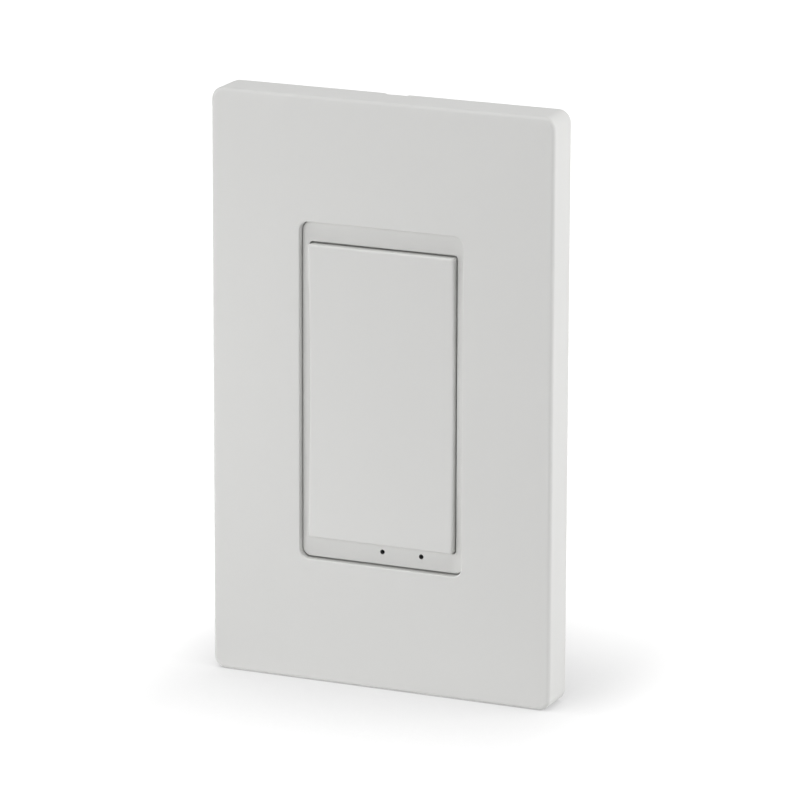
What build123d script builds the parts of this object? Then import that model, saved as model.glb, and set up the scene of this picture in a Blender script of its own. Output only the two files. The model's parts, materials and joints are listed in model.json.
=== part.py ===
from build123d import *
import os
from math import sqrt

# One-gang decorator smart switch with a screwless wall plate, in millimetres.
# X runs to the right seen from the room, Y runs into the wall and Z runs up.
# The wall's surface is at y = 0, and the origin lies midway between the two box screws.

# Cover plate, 69.85 by 114.3 over all: its sides stand out this far past the strap and its ears
plate_side_cover = 12.625
plate_end_cover = 4.35
plate_depth = 8.0
plate_inner_corner = 0.4
plate_edge_round = 0.75
plate_side_wall = 2.0
plate_front_wall = 2.2
opening_width = 33.8
opening_height = 66.0
opening_corner = 2.0
opening_edge_round = 0.5
opening_lip = 1.4
opening_lip_depth = 1.6
notch_width = 4.6
notch_depth = 0.9
notch_bite = 0.01
ridge_length = 12.0
ridge_inset = 13.4
ridge_height = 0.9
ridge_thickness = 0.8
ridge_clearance = 0.1
rib_thickness = 1.0
rib_clearance = 0.3

# Strap
strap_thickness = 1.3
strap_margin = 0.3
strap_corner = 2.5
ear_end = 4.38
ear_width = 33.0
ear_score_inset = 5.9
ear_score_width = 0.5
ear_score_depth = 0.4
ear_score_gap = 1.0
box_screw_margin = 7.17
plate_screw_step = 6.75
box_slot_length = 6.6
screw_hole_clearance = 0.05
strap_bend_share = 0.7
tab_width = 9.0
tab_length = 13.0
tab_gap = 0.2
tab_inset = 12.5
tab_corner = 1.5
tab_end_room = 1.0
tab_root = 1.0

# Adapter that the cover plate snaps onto
adapter_thickness = 2.0
adapter_clearance = 0.42
adapter_window_margin = 1.0
adapter_corner = 3.0
adapter_lip = 0.4
adapter_rib_inset = 4.0
adapter_rib_clearance = 0.1
driver_hole_radius = 4.9

# Front frame
frame_gap = 0.3
frame_setback = 1.3
frame_side_rail = 1.2
frame_end_band = 3.8
frame_edge_round = 0.2
aperture_edge_round = 0.15
frame_flange = 1.5
frame_flange_end = 1.8
frame_window_gap = 0.2
board_boss_floor = 0.5
band_front_wall = 1.6
band_wall = 1.0
pinhole_radius = 0.45
pinhole_inset = 1.3
channel_offset = 0.35
reset_place = 8.0
reset_channel_radius = 0.75

# Rocker
rocker_side_gap = 0.2
rocker_end_gap = 0.3
rocker_proud = 1.55
rocker_hollow = 0.7
rocker_wall = 1.7
rocker_skirt = 1.2
rocker_depth = 3.9
rocker_corner = 0.45
rocker_edge_round = 0.4
rocker_rib_height = 1.0
pivot_height = 3.0
pivot_radius = 1.0
pivot_clearance = 0.05
pivot_web_place = 6.8
pivot_web_thickness = 1.8
pivot_lug_thickness = 2.2
pivot_lug_wall = 0.9
pivot_side_gap = 0.3
post_inset = 8.6
post_radius = 1.9

# Push switches
switch_width = 6.0
switch_height = 3.5
switch_gap = 0.2
switch_corner_share = 1 / 12
plunger_radius = 1.7
plunger_length = 3.6
plunger_edge = 0.2
plunger_foot = 0.6
plunger_foot_thickness = 0.6
plunger_clearance = 0.05
plunger_post_gap = 0.06
plunger_travel = 0.7
floor_hole_clearance = 0.3
reset_switch_width = 2.9
reset_switch_height = 2.0
reset_plunger_radius = 0.7
reset_plunger_length = 0.7
reset_foot = 0.3
reset_foot_gap = 0.05
switch_floor = 0.6
switch_cap = 0.7

# Boards
board_thickness = 1.2
board_clearance = 0.4
board_screw_radius = 0.9
board_screw_head = 1.7
board_screw_head_rim = 0.6
board_screw_head_height = 1.0
board_screw_top_share = 0.6
board_screw_tip_gap = 0.5
board_cross_depth = 0.5
board_cross_width = 0.4
board_screw_inset_x = 2.9
board_screw_inset_z = 5.3
board_notch = 1.5
board_boss_radius = 2.0
power_board_thickness = 1.6
power_board_lift = 2.7
board_room = 19.0

# Light pipe and light
pipe_radius = 0.8
pipe_clearance = 0.03
pipe_collar = 1.6
pipe_collar_thickness = 0.8
pipe_shoulder_gap = 0.05
pipe_light_gap = 0.15
pipe_recess = 0.8
light_width = 1.6
light_depth = 0.8
light_height = 0.7

# Radio module and control chip
module_width = 16.0
module_length = 24.0
module_thickness = 0.8
shield_inset = 1.0
shield_length = 16.0
shield_height = 2.0
shield_corner = 0.6
chip_width = 7.0
chip_height = 0.9

# Housing
housing_wall = 1.8
housing_inner_corner = 0.7
housing_back_round = 1.2
housing_screw_inset = 3.1
housing_screw_radius = 1.25
housing_screw_head = 2.2
housing_screw_head_height = 1.3
housing_head_top_share = 0.75
housing_head_rim = 0.8
housing_cross_depth = 0.7
housing_cross_width = 0.5
cross_length_share = 0.6
housing_screw_point = 0.8
housing_screw_tip_radius = 0.3
housing_screw_frame_gap = 0.1
housing_screw_length = 14.0
housing_boss_radius = 2.6
housing_boss_length = 16.0
housing_boss_floor = 1.0
stake_radius = 1.0
stake_clearance = 0.05
stake_post_radius = 2.2
stake_inset_x = 3.0
stake_inset_z = 2.8
stake_reach = 0.8

# Terminals in recesses in the housing's sides
recess_board_gap = 1.0
recess_height = 10.8
recess_depth = 4.8
recess_wall = 1.2
wire_hole_radius = 1.25
wire_hole_spacing = 5.6
wire_hole_sink = 0.5
terminal_place = 13.0
terminal_thickness = 1.0
terminal_width = 9.0
terminal_leg = 4.0
terminal_pin = 2.0
terminal_screw_radius = 2.0
terminal_head_radius = 4.0
terminal_head_height = 1.9
terminal_head_top_share = 0.8
terminal_head_rim_share = 0.55
terminal_hole_clearance = 0.3
terminal_screw_reach = 2.6
terminal_head_gap = 1.4
terminal_pin_inset = 1.6
terminal_end_gap = 1.0
terminal_start_gap = 0.6
terminal_pin_reach = 0.9
slot_clearance = 0.1
clamp_thickness = 1.2
clamp_gap = 0.05
clamp_corner = 0.8
clamp_hole_clearance = 0.15

# Small screws
six_screw_radius = 1.7
six_head_radius = 3.4
box_screw_length = 22.0
box_head_radius = 4.0
box_head_height = 2.0
box_head_rim = 0.5
box_screw_point = 1.2
adapter_screw_length = 7.0
retainer_width = 9.5
retainer_thickness = 0.4
retainer_corner = 1.2
box_neck_radius = 1.45
box_neck_clearance = 0.05
screw_slot_width = 1.0
screw_slot_depth = 0.8
screw_tip = 0.5
# The box screw's domed head: shares of its radius, and how far each lies below the top
box_head_dome = [(0.55, 0.15), (0.88, 0.65)]

# Link between the boards: a row of long pins with a spacer strip at each board
header_count = 5
header_pitch = 2.0
header_pin_width = 0.5
header_pin_reach = 0.8
header_hole_clearance = 0.1
header_strip_height = 2.0
header_inset = 3.0
header_drop = 3.0

# Power board: one column of parts down each side, with one gap between parts
part_gap = 1.4
part_edge = 2.1
relay_width = 10.2
relay_length = 20.5
relay_height = 15.0
relay_corner = 0.5
filter_radius = 4.0
filter_height = 12.5
output_radius = 3.15
output_height = 11.0
can_edge = 0.4
can_groove = 0.3
can_groove_place = 1.6
varistor_radius = 4.6
varistor_thickness = 3.4
varistor_edge = 0.9
safety_width = 6.0
safety_length = 13.0
safety_height = 11.0
core_width = 11.0
core_height = 13.0
core_depth = 6.0
core_limb = 2.6
coil_length = 13.0
coil_gap = 0.06
coil_overhang = 0.8
coil_round = 1.6
fuse_radius = 1.8
fuse_length = 9.5
fuse_stake_gap = 0.35
fuse_edge = 0.4
rectifier_width = 4.8
rectifier_length = 6.5
rectifier_height = 2.6
rectifier_corner = 0.3

# How far a cutter runs past what it cuts, and how deep a joined piece is sunk into its neighbour
overcut = 1.0
sink = 0.1

# Places along Y, from the room to the wall box
plate_front = -plate_depth
plate_inside = plate_front + plate_front_wall
strap_front = -strap_thickness
adapter_front = strap_front - adapter_thickness
frame_face = plate_front + frame_setback
band_inside = frame_face + band_front_wall
rocker_end_face = frame_face - rocker_proud
rocker_mid_face = rocker_end_face + rocker_hollow
rocker_mid_inside = rocker_mid_face + rocker_wall
rocker_back = rocker_mid_face + rocker_depth
pivot_line = -pivot_height
flange_back = frame_flange
switch_top = flange_back + switch_gap
board_front = switch_top + switch_height
board_back = board_front + board_thickness
post_tip = switch_top - plunger_length + plunger_foot_thickness
power_board_front = board_back + board_room
power_board_back = power_board_front + power_board_thickness
housing_back = power_board_back + power_board_lift + housing_wall
recess_start = board_back + recess_board_gap + recess_wall
recess_end = power_board_front - recess_board_gap - recess_wall
terminal_line = recess_start + terminal_head_gap + terminal_head_radius
terminal_end = recess_end - terminal_end_gap

# Widths and heights that follow from the driving sizes
plate_corner = plate_side_wall + plate_inner_corner
housing_corner = housing_wall + housing_inner_corner
frame_width = opening_width - 2 * frame_gap
frame_height = opening_height - 2 * frame_gap
frame_corner = opening_corner - frame_gap
aperture_width = frame_width - 2 * frame_side_rail
aperture_height = frame_height - 2 * frame_end_band
rocker_width = aperture_width - 2 * rocker_side_gap
rocker_height = aperture_height - 2 * rocker_end_gap
post_place = rocker_height / 2 - post_inset
pinhole_line = -(aperture_height / 2 + pinhole_inset)
channel_line = pinhole_line - channel_offset
screw_corner_x = frame_width / 2 + housing_screw_frame_gap + housing_screw_head
housing_width = 2 * (screw_corner_x + housing_screw_inset)
housing_height = frame_height + 2 * frame_flange_end
screw_corner_z = housing_height / 2 - housing_screw_inset
strap_width = housing_width + 2 * strap_margin
strap_height = housing_height + 2 * strap_margin
box_screw_spacing = housing_height + 2 * box_screw_margin
plate_screw_spacing = box_screw_spacing + 2 * plate_screw_step
ear_length = plate_screw_spacing + 2 * ear_end
plate_width = strap_width + 2 * plate_side_cover
plate_height = ear_length + 2 * plate_end_cover
tab_place = -(housing_height / 2 - tab_inset)
tab_screw_line = tab_length / 2 + tab_end_room
board_width = housing_width - 2 * (housing_screw_inset + housing_boss_radius + board_clearance)
board_height = housing_height - 2 * (housing_wall + board_clearance)
hollow_radius = ((rocker_height / 2) ** 2 + rocker_hollow ** 2) / (2 * rocker_hollow)
board_screw_place_x = board_width / 2 - board_screw_inset_x
board_screw_place_z = board_height / 2 - board_screw_inset_z
recess_floor = housing_width / 2 - recess_depth
power_board_width = 2 * (recess_floor - recess_wall - board_clearance)
power_board_height = board_height
stake_place_x = power_board_width / 2 - stake_inset_x
stake_place_z = power_board_height / 2 - stake_inset_z
corner_places = [(-1, -1), (-1, 1), (1, -1), (1, 1)]
terminals = {"line": (1, terminal_place), "load": (1, -terminal_place), "neutral": (-1, terminal_place)}

# Where the header and the power board's parts stand
header_place_x = power_board_width / 2 - header_inset
header_start = board_screw_place_z - board_boss_radius - header_drop
header_end = header_start - (header_count - 1) * header_pitch
left_line = -power_board_width / 2 + part_edge + relay_width / 2
relay_start = stake_place_z - stake_radius - part_gap
filter_line = relay_start - relay_length - part_gap - filter_radius
output_line = filter_line - filter_radius - part_gap - output_radius
varistor_line = output_line - output_radius - part_gap - varistor_radius
right_line = power_board_width / 2 - part_edge - core_width / 2
safety_start = header_end - header_pitch / 2 - part_gap
safety_line = power_board_width / 2 - part_edge - safety_width / 2
rectifier_line = safety_line - safety_width / 2 - part_gap - rectifier_width / 2
coil_line = safety_start - safety_length - part_gap - coil_length / 2
fuse_line = coil_line - coil_length / 2 - part_gap - fuse_radius
fuse_middle = stake_place_x - stake_radius - fuse_stake_gap - fuse_length / 2


def slab(outline, start, end):
    """Carry an outline drawn in X and Z from one depth to another."""
    plane = Plane(origin=(0, start, 0), x_dir=(1, 0, 0), z_dir=(0, -1, 0))
    return extrude(plane * outline, amount=end - start, dir=(0, 1, 0))


def block(x_range, y_range, z_range):
    """A plain box between two corners."""
    middle = [(low + high) / 2 for low, high in (x_range, y_range, z_range)]
    size = [high - low for low, high in (x_range, y_range, z_range)]
    return Pos(*middle) * Box(*size)


def rod(x, z, radius, start, end):
    """A round bar along Y."""
    return slab(Pos(x, z) * Circle(radius), start, end)


def cross_rod(y, z, radius, start, end):
    """A round bar along X."""
    plane = Plane(origin=(start, y, z), x_dir=(0, 1, 0), z_dir=(1, 0, 0))
    return extrude(plane * Circle(radius), amount=end - start, dir=(1, 0, 0))


def turned(profile, x, z):
    """Turn a profile of (radius, y) points about a line along Y."""
    section = make_face(Polyline(*profile, close=True))
    return Pos(x, 0, z) * revolve(section, Axis.Y)


def front_edges(solid):
    return solid.faces().sort_by(Axis.Y)[0].edges()


def back_edges(solid):
    return solid.faces().sort_by(Axis.Y)[-1].edges()


def side_ridge(start, end):
    """A snap ridge on the plate's right wall: a wedge whose catching face looks to the room."""
    wall = plate_width / 2 - plate_side_wall
    catch = strap_front + ridge_clearance
    points = [
        (wall, catch),
        (wall - ridge_height, catch),
        (wall - ridge_height, catch + ridge_thickness / 3),
        (wall, catch + ridge_thickness),
    ]
    section = make_face(Polyline(*points, close=True))
    return extrude(Pos(0, 0, start) * section, amount=end - start, dir=(0, 0, 1))


def end_ridge(start, end):
    """The same wedge on the plate's top wall, running along X."""
    wall = plate_height / 2 - plate_side_wall
    catch = strap_front + ridge_clearance
    points = [
        (catch, wall),
        (catch, wall - ridge_height),
        (catch + ridge_thickness / 3, wall - ridge_height),
        (catch + ridge_thickness, wall),
    ]
    plane = Plane(origin=(start, 0, 0), x_dir=(0, 1, 0), z_dir=(1, 0, 0))
    return extrude(plane * make_face(Polyline(*points, close=True)), amount=end - start, dir=(1, 0, 0))


def make_cover_plate():
    """A shell with a rounded front edge, an opening with an inner lip, snap ridges and pry notches."""
    inside_width = plate_width - 2 * plate_side_wall
    inside_height = plate_height - 2 * plate_side_wall
    shell = slab(RectangleRounded(plate_width, plate_height, plate_corner), plate_front, 0)
    shell = fillet(front_edges(shell), plate_edge_round)
    shell -= slab(RectangleRounded(inside_width, inside_height, plate_inner_corner), plate_inside, 0)
    lip_width = opening_width + 2 * opening_lip
    lip_height = opening_height + 2 * opening_lip
    lip = RectangleRounded(lip_width, lip_height, opening_corner + opening_lip)
    shell += slab(lip, plate_inside, plate_inside + opening_lip_depth)
    hole = RectangleRounded(opening_width, opening_height, opening_corner)
    shell -= slab(hole, plate_front, plate_inside + opening_lip_depth)
    rim = [edge for edge in front_edges(shell)
           if abs(edge.center().X) < lip_width / 2 and abs(edge.center().Z) < lip_height / 2]
    shell = fillet(rim, opening_edge_round)
    for side in (0, 180):
        turn = Rot(0, side, 0)
        side_place = plate_height / 2 - ridge_inset - ridge_length / 2
        for middle in (-side_place, 0, side_place):
            shell += turn * side_ridge(middle - ridge_length / 2, middle + ridge_length / 2)
        end_place = plate_width / 2 - ridge_inset - ridge_length / 2
        for middle in (-end_place, end_place):
            shell += turn * end_ridge(middle - ridge_length / 2, middle + ridge_length / 2)
        notch_low = plate_height / 2 - plate_side_wall - notch_bite
        notch_high = plate_height / 2 + overcut
        half = notch_width / 2
        shell -= turn * block((-half, half), (-notch_depth, overcut), (notch_low, notch_high))
    rib_reach = inside_width / 2 + sink
    rib_place = (box_screw_spacing + plate_screw_spacing) / 4
    for middle in (-rib_place, rib_place):
        shell += block(
            (-rib_reach, rib_reach),
            (plate_inside - sink, adapter_front - rib_clearance),
            (middle - rib_thickness / 2, middle + rib_thickness / 2),
        )
    return shell


def make_adapter():
    """The flat moulding behind the cover plate, with a window for the device and ribs to the wall."""
    width = plate_width - 2 * (plate_side_wall + adapter_clearance)
    height = plate_height - 2 * (plate_side_wall + adapter_clearance)
    window_width = strap_width + 2 * adapter_window_margin
    window_height = strap_height + 2 * adapter_window_margin
    panel = RectangleRounded(width, height, adapter_corner)
    panel -= RectangleRounded(window_width, window_height, adapter_corner)
    adapter = slab(panel, adapter_front, strap_front)
    window = RectangleRounded(window_width, window_height, adapter_corner)
    collar = offset(window, rib_thickness) - window
    adapter += slab(collar, plate_inside + adapter_lip, adapter_front)
    rib_width = width - 2 * adapter_rib_inset
    rib_tall = height - 2 * adapter_rib_inset
    keep_out = ear_width + 2 * adapter_window_margin
    skirt = RectangleRounded(rib_width, rib_tall, adapter_corner)
    skirt -= RectangleRounded(rib_width - 2 * rib_thickness, rib_tall - 2 * rib_thickness, adapter_corner)
    skirt -= Rectangle(keep_out, height)
    adapter += slab(skirt, strap_front, -adapter_rib_clearance)
    for end in (-1, 1):
        adapter -= rod(0, end * box_screw_spacing / 2, driver_hole_radius, plate_inside, 0)
        countersink = screw_sink(six_head_radius + screw_hole_clearance, adapter_front)
        adapter -= Pos(0, 0, end * plate_screw_spacing / 2) * countersink
    return adapter


def screw_sink(head, top):
    """The countersunk hole for one adapter screw, round the line x = z = 0."""
    shank = six_screw_radius + screw_hole_clearance
    cone = six_head_radius - six_screw_radius
    start = top - overcut
    end = strap_front + overcut
    points = [(0, start), (head, start), (head, top), (shank, top + cone), (shank, end), (0, end)]
    return turned(points, 0, 0)


def make_adapter_screws():
    """Two countersunk screws with a flat, slotted head."""
    cone = six_head_radius - six_screw_radius
    screws = []
    for end in (-1, 1):
        points = [
            (0, adapter_front),
            (six_head_radius, adapter_front),
            (six_screw_radius, adapter_front + cone),
            (six_screw_radius, adapter_front + adapter_screw_length - screw_tip),
            (six_screw_radius - screw_tip, adapter_front + adapter_screw_length),
            (0, adapter_front + adapter_screw_length),
        ]
        screw = turned(points, 0, 0)
        slot = block(
            (-six_head_radius, six_head_radius),
            (adapter_front - overcut, adapter_front + screw_slot_depth),
            (-screw_slot_width / 2, screw_slot_width / 2),
        )
        screws.append(Pos(0, 0, end * plate_screw_spacing / 2) * (screw - slot))
    return Compound(children=screws)


def make_strap():
    """The pressed steel strap: device window, wide scored ears, slots, threaded holes and earth tab."""
    body = RectangleRounded(strap_width, strap_height, strap_corner)
    ears = RectangleRounded(ear_width, ear_length, strap_corner)
    outline = body + ears
    window_width = frame_width + 2 * frame_window_gap
    window_height = frame_height + 2 * frame_window_gap
    outline -= RectangleRounded(window_width, window_height, frame_corner + frame_window_gap)
    thread_hole = six_screw_radius + screw_hole_clearance
    for end in (-1, 1):
        slot = SlotOverall(box_slot_length, 2 * thread_hole)
        outline -= Pos(0, end * box_screw_spacing / 2) * slot
        outline -= Pos(0, end * plate_screw_spacing / 2) * Circle(thread_hole)
    for side, end in corner_places:
        hole = Circle(housing_screw_radius + screw_hole_clearance)
        outline -= Pos(side * screw_corner_x, end * screw_corner_z) * hole
    strap = slab(outline, strap_front, 0)
    score_start = strap_height / 2 + ear_score_gap
    for side, end in corner_places:
        low, high = sorted((end * score_start, end * (ear_length / 2 + overcut)))
        middle = side * (ear_width / 2 - ear_score_inset)
        strap -= block(
            (middle - ear_score_width / 2, middle + ear_score_width / 2),
            (strap_front - overcut, strap_front + ear_score_depth),
            (low, high),
        )
    outer = -(housing_width / 2 + tab_gap + strap_thickness)
    tab = block(
        (outer, outer + strap_thickness),
        (strap_front, tab_length),
        (tab_place - tab_width / 2, tab_place + tab_width / 2),
    )
    bridge = block(
        (outer + strap_thickness, -strap_width / 2 + tab_root),
        (strap_front, 0),
        (tab_place - tab_width / 2, tab_place + tab_width / 2),
    )
    tab_corners = tab.edges().filter_by(Axis.X).group_by(Axis.Y)[-1]
    tab = fillet(tab_corners, tab_corner)
    hole = terminal_screw_radius + screw_hole_clearance
    tab -= cross_rod(tab_screw_line, tab_place, hole, outer - overcut, outer + strap_thickness + overcut)
    strap += bridge + tab
    bend = strap.edges().filter_by(Axis.Z).sort_by_distance((outer, strap_front, tab_place))[0]
    return fillet(bend, strap_thickness * strap_bend_share)


def make_box_screws():
    """Two captive screws: slotted round heads, a thin neck in the strap and a threaded shank behind it."""
    screws = []
    head = strap_front - box_head_height
    neck_end = retainer_thickness + box_neck_clearance
    tip = strap_front + box_screw_length
    for end in (-1, 1):
        points = [(0, head)]
        points += [(box_head_radius * share, head + drop) for share, drop in box_head_dome]
        points += [
            (box_head_radius, strap_front - box_head_rim),
            (box_head_radius, strap_front),
            (box_neck_radius, strap_front),
            (box_neck_radius, neck_end),
            (six_screw_radius, neck_end),
            (six_screw_radius, tip - box_screw_point),
            (six_screw_radius / 2, tip),
            (0, tip),
        ]
        slot = block(
            (-screw_slot_width / 2, screw_slot_width / 2),
            (head - overcut, head + screw_slot_depth),
            (-box_head_radius, box_head_radius),
        )
        screws.append(Pos(0, 0, end * box_screw_spacing / 2) * (turned(points, 0, 0) - slot))
    return Compound(children=screws)


def make_retainers():
    """Two square washers on the box screws' necks, which keep the screws in the strap."""
    outline = RectangleRounded(retainer_width, retainer_width, retainer_corner)
    outline -= Circle(box_neck_radius)
    washer = slab(outline, 0, retainer_thickness)
    places = [end * box_screw_spacing / 2 for end in (-1, 1)]
    return Compound(children=[Pos(0, 0, place) * washer for place in places])


def make_front_frame():
    """The tray round the rocker: rails, end bands, floor with lugs, and the flange behind the strap."""
    outer = RectangleRounded(frame_width, frame_height, frame_corner)
    frame = slab(outer, frame_face, 0)
    frame = fillet(front_edges(frame), frame_edge_round)
    flange = RectangleRounded(housing_width, housing_height, housing_corner)
    frame += slab(flange, 0, flange_back)
    aperture = RectangleRounded(aperture_width, aperture_height, rocker_corner + rocker_side_gap)
    frame -= slab(aperture, frame_face - overcut, 0)
    reach_x = aperture_width / 2 + sink
    reach_z = aperture_height / 2 + sink
    rim = [edge for edge in front_edges(frame)
           if abs(edge.center().X) < reach_x and abs(edge.center().Z) < reach_z]
    frame = fillet(rim, aperture_edge_round)
    frame -= upper_band_pocket()
    for side in (-1, 1):
        frame -= lower_band_pocket(side)
    frame += make_pivot_lugs()
    frame += make_board_bosses()
    for end in (-1, 1):
        hole = plunger_radius + floor_hole_clearance
        frame -= rod(0, end * post_place, hole, -overcut, flange_back + overcut)
    frame -= rod(0, pinhole_line, pinhole_radius, frame_face - overcut, 0)
    frame -= rod(0, channel_line, pipe_radius + pipe_clearance, band_inside, flange_back + overcut)
    frame -= rod(reset_place, pinhole_line, pinhole_radius, frame_face - overcut, 0)
    frame -= rod(reset_place, channel_line, reset_channel_radius, band_inside, flange_back + overcut)
    for side, end in corner_places:
        hole = housing_screw_radius + screw_hole_clearance
        frame -= rod(side * screw_corner_x, end * screw_corner_z, hole, -overcut, flange_back + overcut)
    return frame


def upper_band_pocket():
    """The hollow moulded into the back of the upper band, between its walls."""
    low = aperture_height / 2 + band_wall
    high = frame_height / 2 - band_wall
    reach = frame_width / 2 - 3 * band_wall
    return block((-reach, reach), (band_inside, flange_back + overcut), (low, high))


def lower_band_pocket(side):
    """The lower band's hollows, clear of the light pipe and the reset channel."""
    low = -(frame_height / 2 - band_wall)
    high = -(aperture_height / 2 + band_wall)
    inner = reset_place + reset_channel_radius + band_wall
    outer = frame_width / 2 - 3 * band_wall
    near, far = sorted((side * inner, side * outer))
    return block((near, far), (band_inside, flange_back + overcut), (low, high))


def make_pivot_lugs():
    """Two lugs with bores that stand on the floor and carry the rocker's stubs."""
    lugs = None
    start = pivot_web_place + pivot_web_thickness / 2 + pivot_side_gap
    radius = pivot_radius + pivot_clearance + pivot_lug_wall
    bore = pivot_radius + pivot_clearance
    for side in (-1, 1):
        near, far = sorted((side * start, side * (start + pivot_lug_thickness)))
        lug = block((near, far), (pivot_line, sink), (-radius, radius))
        lug += cross_rod(pivot_line, 0, radius, near, far)
        lug -= cross_rod(pivot_line, 0, bore, near - overcut, far + overcut)
        lugs = lug if lugs is None else lugs + lug
    return lugs


def make_board_bosses():
    """Four bosses on the floor's back that carry the logic board."""
    bosses = None
    for side, end in corner_places:
        x = side * board_screw_place_x
        z = end * board_screw_place_z
        boss = rod(x, z, board_boss_radius, flange_back - sink, board_front)
        boss -= rod(x, z, board_screw_radius, flange_back + board_boss_floor, board_front + overcut)
        bosses = boss if bosses is None else bosses + boss
    return bosses


def hollow_arc(offset, reach):
    """The rocker's long concave arc at a depth behind its face, between two heights."""
    radius = hollow_radius + offset
    centre = rocker_mid_face - hollow_radius
    end = (centre + sqrt(radius ** 2 - reach ** 2), reach)
    start = (end[0], -reach)
    return ThreePointArc(start, (centre + radius, 0), end)


def concave_block(width, height, offset, back):
    """A block whose room side is the concave arc and whose wall side is flat."""
    arc = hollow_arc(offset, height / 2)
    start = arc @ 0
    end = arc @ 1
    outline = arc + Polyline((end.X, end.Y), (back, end.Y), (back, start.Y), (start.X, start.Y))
    plane = Plane(origin=(-width / 2, 0, 0), x_dir=(0, 1, 0), z_dir=(1, 0, 0))
    return extrude(plane * make_face(outline), amount=width, dir=(1, 0, 0))


def make_rocker():
    """The rocker: a concave face with a skirt, two webs with pivot stubs, and two posts."""
    body = concave_block(rocker_width, rocker_height, 0, rocker_back)
    body = fillet(body.edges().filter_by(Axis.Y), rocker_corner)
    face = body.faces().sort_by(Axis.Y)[0]
    body = fillet(face.edges(), rocker_edge_round)
    inner_width = rocker_width - 2 * rocker_skirt
    inner_height = rocker_height - 2 * rocker_skirt
    cavity = concave_block(inner_width, inner_height, rocker_wall, rocker_back + overcut)
    body -= cavity
    room = concave_block(inner_width + 2 * sink, inner_height + 2 * sink, rocker_wall - sink, flange_back)
    extras = None
    radius = pivot_radius + pivot_lug_wall
    for side in (-1, 1):
        near, far = sorted((
            side * (pivot_web_place - pivot_web_thickness / 2),
            side * (pivot_web_place + pivot_web_thickness / 2),
        ))
        web = block((near, far), (rocker_mid_face, pivot_line), (-radius, radius))
        web += cross_rod(pivot_line, 0, radius, near, far)
        stub_end = side * (pivot_web_place + pivot_web_thickness / 2 + pivot_side_gap + pivot_lug_thickness)
        start, end = sorted((side * pivot_web_place, stub_end))
        web += cross_rod(pivot_line, 0, pivot_radius, start, end)
        extras = web if extras is None else extras + web
        rib_x = stub_end + side * (sink + rib_thickness)
        rib = block(
            (rib_x - rib_thickness / 2, rib_x + rib_thickness / 2),
            (rocker_end_face, rocker_mid_inside + rocker_rib_height),
            (-inner_height / 2, inner_height / 2),
        )
        extras += rib
        extras += rod(0, side * post_place, post_radius, rocker_end_face, post_tip - plunger_post_gap)
    for end in (-1, 1):
        level = end * rocker_height / 4
        extras += block(
            (-inner_width / 2, inner_width / 2),
            (rocker_end_face, rocker_mid_inside + rocker_rib_height),
            (level - rib_thickness / 2, level + rib_thickness / 2),
        )
    return body + (extras & room)


def make_switch(x, z, width, height, radius, foot):
    """A push switch's case on the logic board, with the stepped bore its plunger runs in."""
    top = board_front - height
    case = slab(Pos(x, z) * RectangleRounded(width, width, width * switch_corner_share), top, board_front)
    bore = radius + plunger_clearance
    chamber = radius + foot + plunger_clearance
    case -= rod(x, z, bore, top - overcut, top + switch_cap)
    case -= rod(x, z, chamber, top + switch_cap, board_front - switch_floor)
    return case


def make_plunger(x, z, tip, radius, foot, foot_start, foot_thickness):
    """A plunger with a rounded tip and a foot that keeps it in its case."""
    points = [
        (0, tip),
        (radius - plunger_edge, tip),
        (radius, tip + plunger_edge),
        (radius, foot_start),
        (radius + foot, foot_start),
        (radius + foot, foot_start + foot_thickness),
        (0, foot_start + foot_thickness),
    ]
    return turned(points, x, z)


def make_logic_board():
    """The board behind the frame's floor, with notched corners and screw holes."""
    outline = Rectangle(board_width, board_height)
    for side, end in corner_places:
        place = Pos(side * board_screw_place_x, end * board_screw_place_z)
        outline -= place * Circle(board_screw_radius + screw_hole_clearance)
        corner = Pos(side * board_width / 2, end * board_height / 2)
        outline -= corner * Rectangle(2 * board_notch, 2 * board_notch)
    return slab(outline, board_front, board_back)


def make_board_screws():
    """Four small screws from the board's back into the frame's bosses."""
    tip = flange_back + board_boss_floor + board_screw_tip_gap
    top = board_back + board_screw_head_height
    screws = []
    for side, end in corner_places:
        points = [
            (0, tip),
            (board_screw_radius, tip),
            (board_screw_radius, board_back),
            (board_screw_head, board_back),
            (board_screw_head, board_back + board_screw_head_rim),
            (board_screw_head * board_screw_top_share, top),
            (0, top),
        ]
        screw = turned(points, 0, 0)
        half = board_screw_head * cross_length_share
        for turn in (0, 90):
            cross = block((-half, half), (top - board_cross_depth, top + overcut),
                          (-board_cross_width / 2, board_cross_width / 2))
            screw -= Rot(0, turn, 0) * cross
        screws.append(Pos(side * board_screw_place_x, 0, end * board_screw_place_z) * screw)
    return Compound(children=screws)


def make_light_pipe():
    """The clear pipe from the board's light to the middle pinhole, its thin tip off the body's line."""
    shoulder = frame_face + band_front_wall + pipe_shoulder_gap
    end = board_front - light_height - pipe_light_gap
    points = [
        (0, shoulder),
        (pipe_radius, shoulder),
        (pipe_radius, flange_back),
        (pipe_collar, flange_back),
        (pipe_collar, flange_back + pipe_collar_thickness),
        (pipe_radius, flange_back + pipe_collar_thickness),
        (pipe_radius, end),
        (0, end),
    ]
    tip = rod(0, pinhole_line, pinhole_radius - pipe_clearance, frame_face + pipe_recess, shoulder + sink)
    return turned(points, 0, channel_line) + tip


def recess_box(side, z):
    """The space of one terminal recess in the housing's side."""
    outer = housing_width / 2 + overcut
    near, far = sorted((side * recess_floor, side * outer))
    half = recess_height / 2
    return block((near, far), (recess_start, recess_end), (z - half, z + half))


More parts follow.
